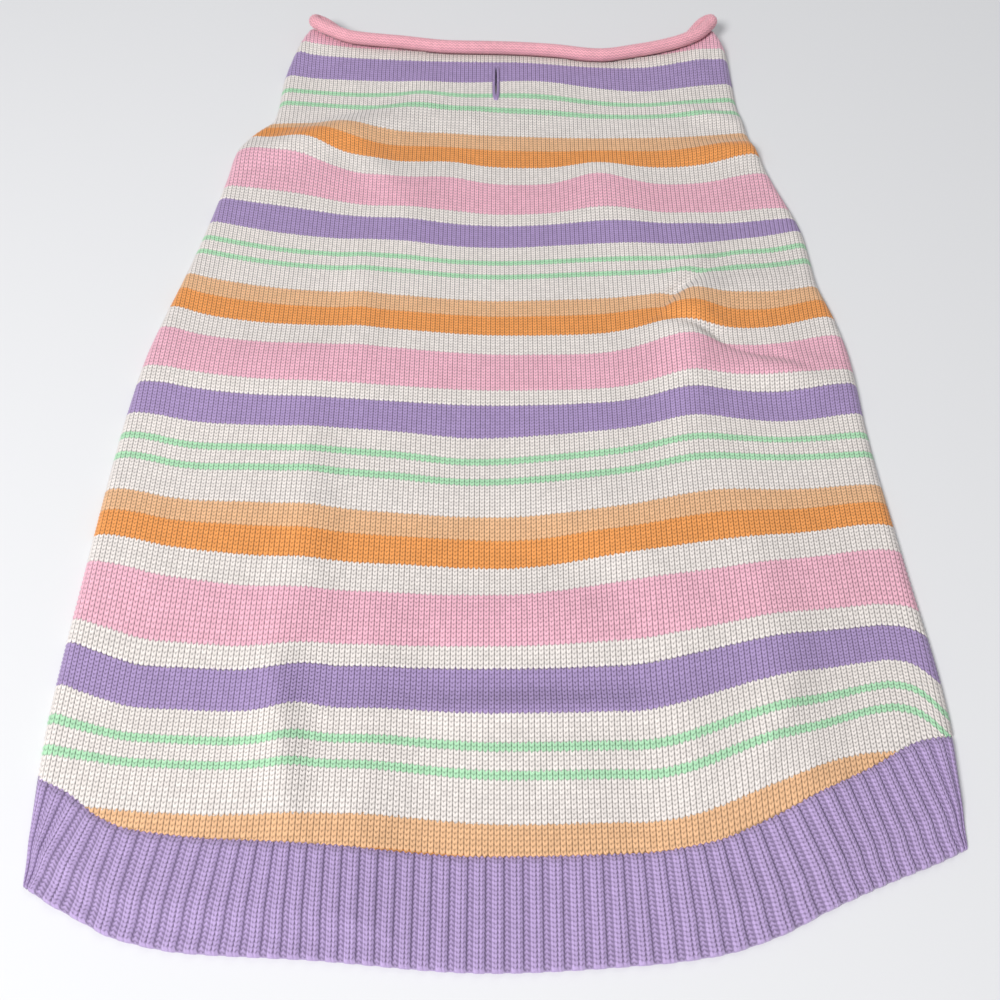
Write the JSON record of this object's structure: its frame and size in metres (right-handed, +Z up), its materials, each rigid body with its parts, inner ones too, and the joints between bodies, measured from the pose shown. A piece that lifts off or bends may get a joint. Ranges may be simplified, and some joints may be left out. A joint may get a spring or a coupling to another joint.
{
  "type": "dog sweater",
  "caption": "Knitted dog sweater laid flat, back up, with a ribbed hem, ribbed leg holes, a rolled collar and a leash slot.",
  "frame": {"origin": "middle of the whole sweater's box, on the surface it lies on", "axes": "+Z up from the surface, +Y from the hem towards the neck, +X to the right of someone who stands at the hem"},
  "size_m": [0.413, 0.5886, 0.0188],
  "materials": {
    "striped_knit": "soft stockinette, cream with purple, green, orange and pink stripes",
    "purple_knit": "soft ribbed knit, lavender",
    "pink_knit": "soft reverse stockinette, pink"
  },
  "bodies": {
    "root": {"back_panel": "striped_knit", "back_hem_rib": "purple_knit", "belly_panel": "striped_knit", "belly_hem_rib": "purple_knit", "leg_cuff_left": "purple_knit", "leg_cuff_right": "purple_knit", "neck_roll": "pink_knit", "leash_slot_binding": "purple_knit"}
  },
  "joints": []
}
